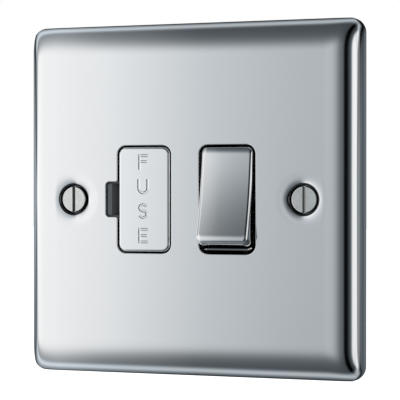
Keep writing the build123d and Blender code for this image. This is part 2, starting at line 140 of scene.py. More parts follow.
across = reckon(tree, "MULTIPLY_ADD", ray["X"], 0.5, 0.5)
ahead = reckon(tree, "MULTIPLY", ray["Y"], -1.0)
height = reckon(tree, "ABSOLUTE", ray["Z"])
tilt = reckon(tree, "DIVIDE", reckon(tree, "ARCTAN2", height, ahead), math.pi)
panel = grade_across(tree, across, panel_levels, cool_grey)
spread_shares = [(x, degrees / half_turn) for x, degrees in panel_spread]
spread = grade_across(tree, across, spread_shares, even_grey)
fall = reckon(tree, "POWER", reckon(tree, "DIVIDE", tilt, spread), panel_edge)
soft = reckon(tree, "DIVIDE", 1.0, reckon(tree, "ADD", fall, 1.0))
lean = grade_across(tree, across, panel_lean, even_grey)
slope = reckon(tree, "MAXIMUM", reckon(tree, "MINIMUM", ray["Z"], lean_reach), -lean_reach)
leant = reckon(tree, "MULTIPLY_ADD", slope, lean, 1.0)
panel = add(tree, "VectorMath", {0: panel, "Scale": leant}, operation="SCALE").outputs[0]
gloom = grade_across(tree, across, room_gloom, cool_grey)
fade = grade_over(tree, tilt, gloom_ends, even_grey)
gloom = blend_colours(tree, 1.0, gloom, fade, "MULTIPLY")
below = reckon(tree, "LESS_THAN", ray["Z"], 0.0)
strip_tilt = reckon(tree, "MULTIPLY_ADD", below, strip_sag / half_turn, tilt)
behind = grade_over(tree, strip_tilt, strip_behind, cool_grey)
seen = blend_colours(tree, soft, gloom, panel)
seen = blend_colours(tree, 1.0, seen, behind, "ADD")
path = add(tree, "LightPath").outputs
plain = add(tree, "Background", {"Color": (0.94, 0.97, 1.0, 1.0), "Strength": 0.8}).outputs[0]
mirrored = add(tree, "Background", {"Color": seen, "Strength": 1.0}).outputs[0]
white = add(tree, "Background", {"Color": (1.0, 1.0, 1.0, 1.0), "Strength": 1.0}).outputs[0]
room_light = add(tree, "MixShader", {0: path["Is Glossy Ray"], 1: plain, 2: mirrored}).outputs[0]
straight = reckon(tree, "MAXIMUM", path["Is Camera Ray"], path["Is Transmission Ray"])
room_light = add(tree, "MixShader", {0: straight, 1: room_light, 2: white}).outputs[0]
add(tree, "OutputWorld", {"Surface": room_light})

floor_drop = 0.05
floor_half = 4.0
floor_lift = 0.58
floor_z = cad_low.z - floor_drop
square_corners = [(-1, -1), (1, -1), (1, 1), (-1, 1)]
floor_points = [(x * floor_half, y * floor_half, floor_z) for x, y in square_corners]
floor_mesh = bpy.data.meshes.new("floor")
floor_mesh.from_pydata(floor_points, [], [(0, 1, 2, 3)])
floor = bpy.data.objects.new("floor", floor_mesh)
floor.visible_glossy = False
studio.collection.objects.link(floor)
floor_paint = bpy.data.materials.new("floor_paint")
floor_paint.use_nodes = True
tree = floor_paint.node_tree
tree.nodes.clear()
path = add(tree, "LightPath").outputs
paint = add(tree, "BsdfDiffuse", {"Color": (0.86, 0.86, 0.86, 1.0)}).outputs[0]
lift = reckon(tree, "MULTIPLY", path["Is Camera Ray"], floor_lift)
glow = add(tree, "Emission", {"Color": (1.0, 1.0, 1.0, 1.0), "Strength": lift}).outputs[0]
add(tree, "OutputMaterial", {"Surface": add(tree, "AddShader", {0: paint, 1: glow}).outputs[0]})
floor_mesh.materials.append(floor_paint)

lamp_at = Vector((-0.55, -0.75, 0.8))
lamp_data = bpy.data.lights.new("soft_lamp", "AREA")
lamp_data.energy = 5.0
lamp_data.size = 0.7
lamp = bpy.data.objects.new("soft_lamp", lamp_data)
lamp.location = lamp_at
lamp.rotation_euler = (-lamp_at).to_track_quat("-Z", "Y").to_euler()
lamp.visible_glossy = False
studio.collection.objects.link(lamp)

eye = Vector((0.157729, -0.408011, 0.001756))
aim = Vector((0.000904, 0.0, -0.000169))
camera_data = bpy.data.cameras.new("camera")
camera_data.sensor_width = 36.0
camera_data.lens = 158.9
camera_data.clip_start = 0.01
camera = bpy.data.objects.new("camera", camera_data)
camera.location = eye
camera.rotation_euler = (aim - eye).to_track_quat("-Z", "Y").to_euler()
studio.collection.objects.link(camera)
studio.camera = camera

# Front plate: one steel sheet, pressed with a broad rolled rim and two drawn cups for its screws, each in a
# soft dish, then nickel and chrome plated and polished to a mirror. The pierced openings have slightly
# rolled edges.
plate_low, plate_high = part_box("front_plate")
plate_half = (plate_high.x - plate_low.x) / 2
face_y = plate_low.y
sheet_t = 0.001
sheet_y = face_y + sheet_t
rim_run = 0.009
rim_drop = 0.0064
rim_square = 2.3
rim_corner = 0.0037
face_corner = 0.0024
rim_steps = 72
rim_blend = 0.0003
rim_join = 1.3
side_marks = (0.0005, 0.001, 0.0016, 0.0023, 0.0031, 0.004, 0.005, 0.0062, 0.0075)
mid_marks = 20
corner_steps = 20
fuse_x = -0.01095
fuse_half_w = 0.00715
switch_x = 0.01075
switch_half_w = 0.007275
open_half_h = 0.013275
open_r = 0.0023
notch_reach = 0.00315
notch_left = fuse_x - fuse_half_w - notch_reach
notch_half_h = 0.004325
notch_r = 0.00105
notch_ease = 0.00045
pierced_roll = 0.0002
pierced_steps = 5
screw_x = 0.03015
cup_r = 0.0035
cup_outer_r = 0.0044
dish_r = 0.0074
# Each pair is a distance from the screw's axis and the dish's slope there in degrees, on the side towards
# the middle of the plate (inner) and on the side towards its rim (outer).
inner_slopes = [(0.0074, 0), (0.007, 0.2), (0.0066, 0.6), (0.0062, 1.4), (0.0059, 3), (0.0056, 6.5),
                (0.00535, 10.5), (0.0051, 14), (0.00487, 17.5), (0.0046, 21), (0.00436, 24.5),
                (0.0041, 31), (0.00385, 46), (0.00365, 65), (0.0035, 84)]
outer_slopes = [(0.0074, 0), (0.0062, 0.7), (0.0056, 1.3), (0.005, 2.1), (0.0046, 2.6), (0.0043, 3.1),
                (0.0041, 4.5), (0.004, 7.5), (0.0039, 18), (0.0038, 35), (0.0037, 52), (0.0036, 68),
                (0.0035, 84)]
dish_steps = 16
cup_seat_y = -0.0049
cup_floor = 0.0008
cup_hole_r = 0.0021
cup_steps = 40
cup_turn_steps = 96
least_cosine = 1e-6
flat_margin = 0.00005
front_facing = -0.9
level_gap = 1e-7


def arc_points(x, z, radius, start, end):
    turns = [math.radians(start + (end - start) * step / corner_steps) for step in range(corner_steps + 1)]
    return [(x + radius * math.cos(turn), z + radius * math.sin(turn)) for turn in turns]


def rounded_outline(mid_x, mid_z, half_w, half_h, radius):
    points = []
    for start, side_x, side_z in ((0, 1, 1), (90, -1, 1), (180, -1, -1), (270, 1, -1)):
        x = mid_x + side_x * (half_w - radius)
        z = mid_z + side_z * (half_h - radius)
        points += arc_points(x, z, radius, start, start + 90)
    return points


def fuse_outline(grow):
    around = rounded_outline(fuse_x, 0, fuse_half_w + grow, open_half_h + grow, open_r + grow)
    per_corner = corner_steps + 1
    left = fuse_x - fuse_half_w - grow
    top = notch_half_h + grow
    ease = notch_ease - grow
    round_r = notch_r + grow
    notch = arc_points(left - ease, top + ease, ease, 0, -90)
    notch += arc_points(notch_left - grow + round_r, top - round_r, round_r, 90, 180)
    notch += arc_points(notch_left - grow + round_r, round_r - top, round_r, 180, 270)
    notch += arc_points(left - ease, -top - ease, ease, 90, 0)
    return around[:2 * per_corner] + notch + around[2 * per_corner:]


def switch_outline(grow):
    return rounded_outline(switch_x, 0, switch_half_w + grow, open_half_h + grow, open_r + grow)


def with_sides(outline, side_points):
    per_corner = corner_steps + 1
    full = []
    for corner in range(4):
        full += outline[corner * per_corner:(corner + 1) * per_corner]
        start = Vector(full[-1])
        end = Vector(outline[(corner + 1) * per_corner % len(outline)])
        full += [tuple(point) for point in side_points(start, end)]
    return full


def marked_side(start, end):
    along = (end - start).normalized()
    middle = (start + end) / 2
    points = [start + along * mark for mark in side_marks]
    points += [middle + along * dish_r * mark / mid_marks for mark in range(-mid_marks, mid_marks + 1)]
    return points + [end - along * mark for mark in reversed(side_marks)]


def marked_outline(half, radius):
    return with_sides(rounded_outline(0, 0, half, half, radius), marked_side)


def screw_ring(side, radius):
    return [(side * screw_x + radius * math.cos(turn), radius * math.sin(turn)) for turn in cup_turns]


def quarter_round(radius, steps):
    turns = [math.radians(90 * step / steps) for step in range(steps + 1)]
    return [(radius * (1 - math.sin(turn)), radius * (1 - math.cos(turn))) for turn in turns]


def lay_row(mesh, outline, y):
    return [mesh.verts.new((x, y, z)) for x, z in outline]


def bridge(mesh, first, second):
    for k in range(len(first)):
        following = (k + 1) % len(first)
        mesh.faces.new((first[k], first[following], second[following], second[k]))


def skin_rows(mesh, rows):
    for first, second in zip(rows, rows[1:]):
        bridge(mesh, first, second)
    return rows


def fill_between(mesh, loops):
    edges = []
    for loop in loops:
        for k in range(len(loop)):
            pair = (loop[k], loop[(k + 1) % len(loop)])
            edges.append(mesh.edges.get(pair) or mesh.edges.new(pair))
    bmesh.ops.triangle_fill(mesh, use_beauty=True, edges=edges, normal=(0, -1, 0))


def new_piece(name, mesh):
    data = bpy.data.meshes.new(name)
    bmesh.ops.recalc_face_normals(mesh, faces=mesh.faces)
    mesh.to_mesh(data)
    mesh.free()
    piece = bpy.data.objects.new(name, data)
    studio.collection.objects.link(piece)
    return piece


def smooth_by_angle(piece, degrees):
    piece.data.polygons.foreach_set("use_smooth", [True] * len(piece.data.polygons))
    piece.data.set_sharp_from_angle(angle=math.radians(degrees))


def true_flat(piece, y):
    data = piece.data
    normals = [corner.vector.copy() for corner in data.corner_normals]
    for facet in data.polygons:
        if facet.normal.y < front_facing:
            for k in facet.loop_indices:
                if abs(data.vertices[data.loops[k].vertex_index].co.y - y) < level_gap:
                    normals[k] = Vector((0, -1, 0))
    data.normals_split_custom_set(normals)


def slope_at(radius, slopes):
    for (outer, mild), (inner, steep) in zip(slopes, slopes[1:]):
        if radius >= inner:
            return math.radians(mild + (steep - mild) * (outer - radius) / (outer - inner))
    return math.radians(slopes[-1][1])


def dish_fall(x, z):
    radius = math.hypot(abs(x) - screw_x, z)
    if radius >= dish_r:
        return 0.0
    inward = ((1 - (abs(x) - screw_x) / radius) / 2) ** 2
    run = (dish_r - radius) / dish_steps
    fall = 0.0
    for step in range(dish_steps):
        at = dish_r - run * (step + 0.5)
        outer = math.tan(slope_at(at, outer_slopes))
        fall += run * (outer + (math.tan(slope_at(at, inner_slopes)) - outer) * inward)
    return fall


def roll_fall(offset, half, run, drop):
    share = min(1.0, max(0.0, (abs(offset) - half + run) / run))
    return drop * (1 - (1 - share ** rim_square) ** (1 / rim_square))


def rolled_rows(mesh, half, depth, run, drop, corner):
    rows = [lay_row(mesh, marked_outline(half, corner), 0.0)]
    for step in range(rim_steps + 1):
        turn = math.radians(90 - 90 * step / rim_steps)
        inset = run * (1 - math.sin(turn) ** (2 / rim_square))
        edge_fall = drop * (1 - math.cos(turn) ** (2 / rim_square))
        bend = face_corner + (corner - face_corner) * (1 - inset / run) ** 3
        row = []
        for x, z in marked_outline(half - inset, bend):
            across_fall = roll_fall(x, half, run, drop)
            upright_fall = roll_fall(z, half, run, drop)
            both = (across_fall ** rim_join + upright_fall ** rim_join) ** (1 / rim_join)
            short = max(0.0, edge_fall - both)
            fall = min(drop, both + short ** 2 / (short + rim_blend))
            fall += dish_fall(x, z)
            row.append(mesh.verts.new((x, fall - depth, z)))
        rows.append(row)
    return skin_rows(mesh, rows)


mesh = bmesh.new()
outside = rolled_rows(mesh, plate_half, -face_y, rim_run, rim_drop, rim_corner)
inside = rolled_rows(mesh, plate_half - sheet_t, -sheet_y, rim_run - sheet_t, rim_drop - sheet_t,
                     rim_corner - sheet_t)
bridge(mesh, outside[0], inside[0])
front_loops = [outside[-1]]
back_loops = [inside[-1]]
for outline in (fuse_outline, switch_outline):
    rows = []
    for grow, fall in quarter_round(pierced_roll, pierced_steps):
        rows.append(lay_row(mesh, outline(grow), face_y + fall))
    rows.append(lay_row(mesh, outline(0.0), sheet_y))
    skin_rows(mesh, rows)
    front_loops.append(rows[0])
    back_loops.append(rows[-1])
cup_back = cup_seat_y + cup_floor
cup_walls = [(cup_r, cup_seat_y), (cup_hole_r, cup_seat_y), (cup_hole_r, cup_back), (cup_outer_r, cup_back),
             (cup_outer_r, sheet_y)]
cup_turns = [2 * math.pi * k / cup_turn_steps for k in range(cup_turn_steps)]
cup_room = plate_half - rim_run - screw_x - flat_margin
for side in (-1, 1):
    rows = []
    for step in range(cup_steps + 1):
        share = (1 - step / cup_steps) ** 2
        row = []
        for turn in cup_turns:
            outward = max(side * math.cos(turn), least_cosine)
            radius = cup_r + (min(dish_r, cup_room / outward) - cup_r) * share
            x = side * screw_x + radius * math.cos(turn)
            z = radius * math.sin(turn)
            row.append(mesh.verts.new((x, face_y + dish_fall(x, z), z)))
        rows.append(row)
    rows += [lay_row(mesh, screw_ring(side, radius), y) for radius, y in cup_walls]
    skin_rows(mesh, rows)
    front_loops.append(rows[0])
    back_loops.append(rows[-1])
fill_between(mesh, front_loops)
fill_between(mesh, back_loops)
pressed_plate = new_piece("pressed_plate", mesh)
smooth_by_angle(pressed_plate, degrees=30)
true_flat(pressed_plate, face_y)


def effect(name, inputs, outputs):
    made = bpy.data.node_groups.new(name, "ShaderNodeTree")
    for label, start in inputs.items():
        made.interface.new_socket(label, in_out="INPUT", socket_type="NodeSocketFloat").default_value = start
    for label in outputs:
        made.interface.new_socket(label, in_out="OUTPUT", socket_type="NodeSocketFloat")
    return made, made.nodes.new("NodeGroupInput").outputs, made.nodes.new("NodeGroupOutput").inputs


def place(tree, group, **values):
    made = tree.nodes.new("ShaderNodeGroup")
    made.node_tree = group
    for label, value in values.items():
        made.inputs[label].default_value = value
    return made.outputs


def coating(name, **values):
    made = bpy.data.materials.new(name)
    made.use_nodes = True
    surface = made.node_tree.nodes["Principled BSDF"].inputs
    for label, value in values.items():
        surface[label.replace("_", " ")].default_value = value
    return made, made.node_tree, surface


def object_spot(tree):
    return add(tree, "TexCoord").outputs["Object"]


def noise(tree, spot, scale, detail, **more):
    return add(tree, "TexNoise", {"Vector": spot, "Scale": scale, "Detail": detail, **more}).outputs["Fac"]


def remap(tree, value, low=0.0, high=1.0, start=0.0, end=1.0):
    sockets = {"Value": value, "From Min": start, "From Max": end, "To Min": low, "To Max": high}
    return add(tree, "MapRange", sockets).outputs["Result"]


def from_screw(tree, spot, off):
    aside = reckon(tree, "SUBTRACT", reckon(tree, "ABSOLUTE", spot["X"]), off)
    upright = reckon(tree, "MULTIPLY", spot["Z"], spot["Z"])
    return reckon(tree, "SQRT", reckon(tree, "MULTIPLY_ADD", aside, aside, upright))


haze_sizes = {"Patch": 60.0, "Low": 0.03, "High": 0.06}
polish, wants, gives = effect("polish_haze", haze_sizes, ["Roughness", "Bloom"])
haze = noise(polish, object_spot(polish), wants["Patch"], 4.0, Roughness=0.6)
rough = remap(polish, haze, wants["Low"], wants["High"], start=0.3, end=0.7)
polish.links.new(rough, gives["Roughness"])
polish.links.new(remap(polish, haze, start=0.3, end=0.7), gives["Bloom"])

# A mask of the sunk wells round a screw's axis, below a given depth. Dull plating or grime is put there, and
# painted shade too.
well_sizes = {"Off": screw_x, "Reach": 0.0035, "Start": -0.007, "End": -0.0067}
wells, wants, gives = effect("dull_and_shaded_wells", well_sizes, ["Mask"])
spot = add(wells, "SeparateXYZ", {0: object_spot(wells)}).outputs
within = reckon(wells, "LESS_THAN", from_screw(wells, spot, wants["Off"]), wants["Reach"])
sunk = remap(wells, spot["Y"], start=wants["Start"], end=wants["End"])
wells.links.new(reckon(wells, "MULTIPLY", within, sunk), gives["Mask"])

# Inside the cups the chrome is painted dark grey and dulled. This stands for thin plating there, and is also
# painted shade in the wells.
cup_grey_and_shade = (0.12, 0.124, 0.128, 1.0)
cup_dullness = 0.12
cup_shade_start = 0.00005
cup_shade_end = 0.0001
plate_chrome, tree, surface = coating("plate_chrome", Metallic=1.0)
buffed = place(tree, polish, Patch=55.0, Low=0.02, High=0.045)
tint = blend_colours(tree, buffed["Bloom"], (0.93, 0.93, 0.93, 1.0), (0.92, 0.92, 0.921, 1.0))
thin_plating_and_shade = place(tree, wells, Off=screw_x, Reach=0.004, Start=face_y + cup_shade_start,
             End=face_y + cup_shade_end)
tree.links.new(blend_colours(tree, thin_plating_and_shade["Mask"], tint, cup_grey_and_shade), surface["Base Color"])
dulled = reckon(tree, "MULTIPLY_ADD", thin_plating_and_shade["Mask"], cup_dullness, buffed["Roughness"])
tree.links.new(dulled, surface["Roughness"])
pressed_plate.data.materials.append(plate_chrome)
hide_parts("front_plate")
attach(pressed_plate, "unit")

# Tapped pillars: four round steel posts, cut from zinc plated bar, tapped through and welded to the back of
# the plate, so that the mouldings can be screwed to it from behind.


def emboss(tree, surface, height, strength, distance):
    bump = add(tree, "Bump", {"Height": height, "Strength": strength, "Distance": distance})
    tree.links.new(bump.outputs["Normal"], surface["Normal"])


def dress(material, *names):
    for name in names:
        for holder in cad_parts[name].material_slots:
            holder.material = material


drawn, wants, gives = effect("drawn_lines", {"Fineness": 4000.0, "Stretch": 0.02}, ["Height", "Shade"])
spot = object_spot(drawn)
along = add(drawn, "CombineXYZ", {"X": 1.0, "Y": wants["Stretch"], "Z": 1.0}).outputs[0]
lines_at = add(drawn, "VectorMath", {0: spot, 1: along}, operation="MULTIPLY").outputs[0]
lines = noise(drawn, lines_at, wants["Fineness"], 2.0)
tarnish = noise(drawn, spot, 260.0, 3.0)
drawn.links.new(lines, gives["Height"])
drawn.links.new(reckon(drawn, "MULTIPLY", lines, tarnish), gives["Shade"])

pillar_zinc, tree, surface = coating("pillar_zinc", Metallic=1.0)
bar = place(tree, drawn, Fineness=3500.0, Stretch=0.05)
tint = blend_colours(tree, bar["Shade"], (0.5, 0.52, 0.54, 1.0), (0.74, 0.75, 0.76, 1.0))
tree.links.new(tint, surface["Base Color"])
tree.links.new(remap(tree, bar["Shade"], low=0.28, high=0.5), surface["Roughness"])
emboss(tree, surface, bar["Height"], strength=0.12, distance=0.00008)
dress(pillar_zinc, "plate_pillars")

# Front moulding: black urea resin, moulded with the fuse bay, the rocker bay and its bearings, and the
# lever ledge that shows in the plate's notch. It lies against the back of the plate.
grain, wants, gives = effect("moulded_grain", {"Fineness": 5000.0, "Flow": 120.0}, ["Height", "Shade"])
spot = object_spot(grain)
grain.links.new(noise(grain, spot, wants["Fineness"], 3.0, Roughness=0.55), gives["Height"])
grain.links.new(noise(grain, spot, wants["Flow"], 3.0, Distortion=0.8), gives["Shade"])

rub, wants, gives = effect("edge_rub", {"Reach": 0.00025, "Depth": 0.2}, ["Mask"])
eased = add(rub, "Bevel", {"Radius": wants["Reach"]}, samples=4).outputs["Normal"]
own = add(rub, "NewGeometry").outputs["Normal"]
facing = add(rub, "VectorMath", {0: eased, 1: own}, operation="DOT_PRODUCT").outputs["Value"]
worn = remap(rub, reckon(rub, "SUBTRACT", 1.0, facing), end=wants["Depth"])
broken = noise(rub, object_spot(rub), 900.0, 3.0)
rub.links.new(reckon(rub, "MULTIPLY", worn, broken), gives["Mask"])


def resin(name, dark, pale, edge, gloss, dull):
    made, tree, surface = coating(name, Specular_IOR_Level=0.5)
    skin = place(tree, grain, Fineness=5200.0, Flow=110.0)
    rubbed = place(tree, rub, Reach=0.00022, Depth=0.25)
    body = blend_colours(tree, skin["Shade"], (*dark, 1.0), (*pale, 1.0))
    tree.links.new(blend_colours(tree, rubbed["Mask"], body, (*edge, 1.0)), surface["Base Color"])
    tree.links.new(remap(tree, skin["Shade"], gloss, dull, start=0.3, end=0.7), surface["Roughness"])
    emboss(tree, surface, skin["Height"], strength=0.18, distance=0.00006)
    return made


# Its colours are lighter than those of the rear moulding's same resin. This is painted light, for the lit
# lever ledge in the notch.
frame_resin_painted_lighter = resin("frame_resin_painted_lighter", dark=(0.064, 0.069, 0.073), pale=(0.086, 0.092, 0.097),
                    edge=(0.15, 0.155, 0.16), gloss=0.17, dull=0.27)
dress(frame_resin_painted_lighter, "inner_frame")

# Rear moulding: the same black resin, with the wire entries, the seats of the terminals, the barrier
# between the poles and a sunk panel on its back. Four screws clamp it to the front moulding.
base_resin = resin("base_resin", dark=(0.05, 0.053, 0.056), pale=(0.068, 0.072, 0.076),
                   edge=(0.14, 0.145, 0.15), gloss=0.34, dull=0.5)
dress(base_resin, "rear_base")

# Terminals: brass blocks, sawn from drawn bar, drilled across for the wires and tapped for their screws.
# They drop into the rear moulding's seats on top of the straps.


def strip_metal(name, deep, bright, edge, smooth, rough, fineness, stretch):
    made, tree, surface = coating(name, Metallic=1.0)
    lines = place(tree, drawn, Fineness=fineness, Stretch=stretch)
    rubbed = place(tree, rub, Reach=0.00015, Depth=0.3)
    body = blend_colours(tree, lines["Shade"], (*deep, 1.0), (*bright, 1.0))
    tree.links.new(blend_colours(tree, rubbed["Mask"], body, (*edge, 1.0)), surface["Base Color"])
    tree.links.new(remap(tree, lines["Shade"], smooth, rough), surface["Roughness"])
    emboss(tree, surface, lines["Height"], strength=0.15, distance=0.00006)
    return made


terminal_brass = strip_metal("terminal_brass", deep=(0.6, 0.42, 0.17), bright=(0.87, 0.68, 0.36),
                             edge=(0.95, 0.8, 0.5), smooth=0.22, rough=0.42, fineness=2600.0, stretch=0.3)
dress(terminal_brass, "terminal_live_in", "terminal_neutral_in", "terminal_live_out", "terminal_neutral_out",
      "terminals_earth")

# Terminal screws: slotted screws, turned from brass bar and left bright, one in each terminal. They are
# reached through the round holes in the back of the rear moulding.
screw_brass = strip_metal("screw_brass", deep=(0.58, 0.42, 0.19), bright=(0.84, 0.67, 0.38),
                          edge=(0.94, 0.8, 0.52), smooth=0.2, rough=0.4, fineness=3800.0, stretch=0.6)
dress(screw_brass, "terminal_screws")

# Straps: half-hard brass strip, pressed to shape, that leads each pole from its terminal to the contacts
# and the fuse clips. The earth strap has a leaf that presses on the back of the plate.
strap_brass = strip_metal("strap_brass", deep=(0.62, 0.44, 0.2), bright=(0.84, 0.66, 0.37),
                          edge=(0.94, 0.8, 0.52), smooth=0.26, rough=0.46, fineness=3200.0, stretch=0.08)
dress(strap_brass, "strap_live_in", "strap_neutral_in", "strap_live_link", "strap_live_out",
      "strap_neutral_out", "earth_strap")

# Fuse clips: phosphor bronze strip, bent to spring jaws that grip the fuse's end caps, riveted to the
# straps. Bronze is redder than the brass beside it.
clip_bronze = strip_metal("clip_bronze", deep=(0.55, 0.33, 0.18), bright=(0.79, 0.53, 0.33),
                          edge=(0.92, 0.7, 0.5), smooth=0.25, rough=0.44, fineness=3600.0, stretch=0.1)
dress(clip_bronze, "fuse_clip_supply", "fuse_clip_load")

# Contact arms: two copper see-saws that rest on the pivot posts and tip over as the rocker's plungers pass.
# They are blanked from strip and ride loose on their posts.
arm_copper = strip_metal("arm_copper", deep=(0.62, 0.31, 0.19), bright=(0.87, 0.5, 0.35),
                         edge=(0.95, 0.66, 0.5), smooth=0.24, rough=0.42, fineness=3400.0, stretch=0.08)
dress(arm_copper, "contact_arm_live", "contact_arm_neutral")

# Contact tips: silver buttons, headed and staked to the arms and to the fixed straps. Use leaves them
# slightly dull and yellowed.
tip_silver = strip_metal("tip_silver", deep=(0.68, 0.66, 0.6), bright=(0.92, 0.91, 0.87),
                         edge=(0.97, 0.96, 0.94), smooth=0.2, rough=0.38, fineness=2800.0, stretch=0.9)
dress(tip_silver, "fixed_tips", "arm_tip_live", "arm_tip_neutral")

# Rocker core: black nylon, moulded with the pivots and two sleeves for the plungers. It is pressed into the
# back of the rocker's cap.
core_nylon = resin("core_nylon", dark=(0.02, 0.021, 0.022), pale=(0.034, 0.035, 0.037),
                   edge=(0.09, 0.092, 0.095), gloss=0.4, dull=0.55)
dress(core_nylon, "rocker_core")

# Plungers: white nylon pins with round noses, which slide in the sleeves and press on the arms.
# Their springs are wound from hard steel wire.


def pale_solid(name, deep, pale, fineness, flow, sheen_by, gloss, dull, relief):
    made, tree, surface = coating(name, Specular_IOR_Level=0.5)
    skin = place(tree, grain, Fineness=fineness, Flow=flow)
    body = blend_colours(tree, skin["Shade"], (*deep, 1.0), (*pale, 1.0))
    tree.links.new(body, surface["Base Color"])
    tree.links.new(remap(tree, skin[sheen_by], gloss, dull), surface["Roughness"])
    emboss(tree, surface, skin["Height"], strength=relief, distance=0.00004)
    return made


plunger_nylon = pale_solid("plunger_nylon", deep=(0.74, 0.72, 0.66), pale=(0.84, 0.82, 0.77),
                           fineness=3000.0, flow=300.0, sheen_by="Height", gloss=0.38, dull=0.52,
                           relief=0.08)
dress(plunger_nylon, "plungers")
spring_wire = strip_metal("spring_wire", deep=(0.42, 0.42, 0.44), bright=(0.66, 0.66, 0.68),
                          edge=(0.8, 0.8, 0.82), smooth=0.24, rough=0.4, fineness=5000.0, stretch=0.5)
dress(spring_wire, "plunger_springs")

# Rocker cap: cast, hollowed from end to end, plated and polished like the plate. Its ends roll over further
# than its sides, and the pocket in its back is pressed over the core.
rocker_half_w = 0.006625
rocker_roll_z = 0.0099
rocker_wall_z = 0.0125
rocker_wall_y = -0.0019
rocker_foot_z = 0.0128
rocker_corner = 0.0014
side_roll = 0.001
end_roll = 0.0009
end_reach = 0.0019
end_bend = 88
centre_h = 0.0061
hollow_r = 0.09
crown_r = 0.26
skirt_y = -0.0016
pocket_half_w = 0.0053
pocket_half_h = 0.0096
pocket_corner = 0.0001
pocket_y = -0.0049
pivot_y = -0.0034
rest_tilt = math.radians(11)
rocker_pose = Matrix.Translation((switch_x, pivot_y, 0)) @ Matrix.Rotation(-rest_tilt, 4, "X")
rocker_roll_steps = 16
rocker_wall_steps = 6
rocker_rings = 26
rocker_side_steps = 30


def stepped_side(start, end):
    return [start.lerp(end, k / rocker_side_steps) for k in range(1, rocker_side_steps)]


def stepped_outline(half_w, half_h, radius):
    return with_sides(rounded_outline(0, 0, half_w, half_h, radius), stepped_side)


def hollow_y(x, z):
    return x ** 2 / (2 * crown_r) - z ** 2 / (2 * hollow_r) - centre_h


def posed_row(mesh, points):
    return [mesh.verts.new(rocker_pose @ Vector(point)) for point in points]


def close_rows(mesh, rows):
    skin_rows(mesh, rows)
    mesh.faces.new(rows[0])
    mesh.faces.new(rows[-1])


mesh = bmesh.new()
pocket = stepped_outline(pocket_half_w, pocket_half_h, pocket_corner)
rows = [posed_row(mesh, [(x, y, z) for x, z in pocket]) for y in (pocket_y, skirt_y)]
foot = stepped_outline(rocker_half_w, rocker_foot_z, rocker_corner)
rows.append(posed_row(mesh, [(x, skirt_y, z) for x, z in foot]))
wall = [(x, rocker_wall_y, z) for x, z in stepped_outline(rocker_half_w, rocker_wall_z, rocker_corner)]
rolled = []
for step in range(rocker_roll_steps + 1):
    share = 1 - step / rocker_roll_steps
    side_turn = math.radians(90 * share)
    end_turn = math.radians(end_bend * share)
    wide = rocker_half_w - side_roll * (1 - math.sin(side_turn))
    tall = rocker_roll_z + end_reach * math.sin(end_turn)
    radius = rocker_corner - side_roll * (1 - math.sin(side_turn))
    points = []
    for x, z in stepped_outline(wide, tall, radius):
        sideways = max(0.0, abs(x) - wide + radius) / radius
        endways = max(0.0, abs(z) - tall + radius) / radius
        side_fall = side_roll * (1 - math.cos(side_turn)) * sideways
        end_fall = end_roll * (1 - math.cos(end_turn)) * endways
        points.append((x, hollow_y(x, z) + math.hypot(side_fall, end_fall), z))
    rolled.append(points)
for step in range(rocker_wall_steps):
    share = step / rocker_wall_steps
    points = [Vector(low).lerp(Vector(high), share) for low, high in zip(wall, rolled[0])]
    rows.append(posed_row(mesh, points))
rows += [posed_row(mesh, points) for points in rolled]
flat_w = rocker_half_w - side_roll
flat_corner = rocker_corner - side_roll
for step in range(1, rocker_rings):
    share = 1 - step / rocker_rings
    ring = stepped_outline(flat_w * share, rocker_roll_z * share, flat_corner * share)
    rows.append(posed_row(mesh, [(x, hollow_y(x, z), z) for x, z in ring]))
close_rows(mesh, rows)
polished_rocker = new_piece("polished_rocker", mesh)
smooth_by_angle(polished_rocker, degrees=35)
data = polished_rocker.data
normals = [corner.vector.copy() for corner in data.corner_normals]
for loop in data.loops:
    at = rocker_pose.inverted() @ data.vertices[loop.vertex_index].co
    if abs(at.y - hollow_y(at.x, at.z)) < level_gap:
        outward = Vector((at.x / crown_r, -1, -at.z / hollow_r))
        normals[loop.index] = (rocker_pose.to_3x3() @ outward).normalized()
data.normals_split_custom_set(normals)


def chrome(name, clear, hazy, patch, low, high):
    made, tree, surface = coating(name, Metallic=1.0)
    buffed = place(tree, polish, Patch=patch, Low=low, High=high)
    tint = blend_colours(tree, buffed["Bloom"], (*clear, 1.0), (*hazy, 1.0))
    tree.links.new(tint, surface["Base Color"])
    tree.links.new(buffed["Roughness"], surface["Roughness"])
    return made


rocker_chrome = chrome("rocker_chrome", clear=(0.895, 0.895, 0.895), hazy=(0.88, 0.88, 0.881),
                       patch=140.0, low=0.025, high=0.055)
polished_rocker.data.materials.append(rocker_chrome)
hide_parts("rocker_cap")
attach(polished_rocker, "rocker")

# Cartridge fuse: an unglazed ceramic tube filled with sand, with a nickel plated brass cap crimped on each
# end. It lies in the carrier's grip and its caps slide into the clips.
fuse_ceramic = pale_solid("fuse_ceramic", deep=(0.78, 0.75, 0.68), pale=(0.88, 0.86, 0.8),
                          fineness=2200.0, flow=420.0, sheen_by="Shade", gloss=0.42, dull=0.6,
                          relief=0.05)
dress(fuse_ceramic, "fuse_barrel")
fuse_nickel = strip_metal("fuse_nickel", deep=(0.6, 0.58, 0.52), bright=(0.83, 0.81, 0.75),
                          edge=(0.93, 0.91, 0.86), smooth=0.18, rough=0.34, fineness=3000.0, stretch=0.6)
dress(fuse_nickel, "fuse_caps")

# Carrier drawer: black resin, with the grip that holds the fuse and two sprung rails with barbs, which keep
# the drawer captive when it is levered out.
drawer_resin = resin("drawer_resin", dark=(0.03, 0.031, 0.033), pale=(0.045, 0.047, 0.05),
                     edge=(0.12, 0.122, 0.126), gloss=0.36, dull=0.5)
dress(drawer_resin, "carrier_body")

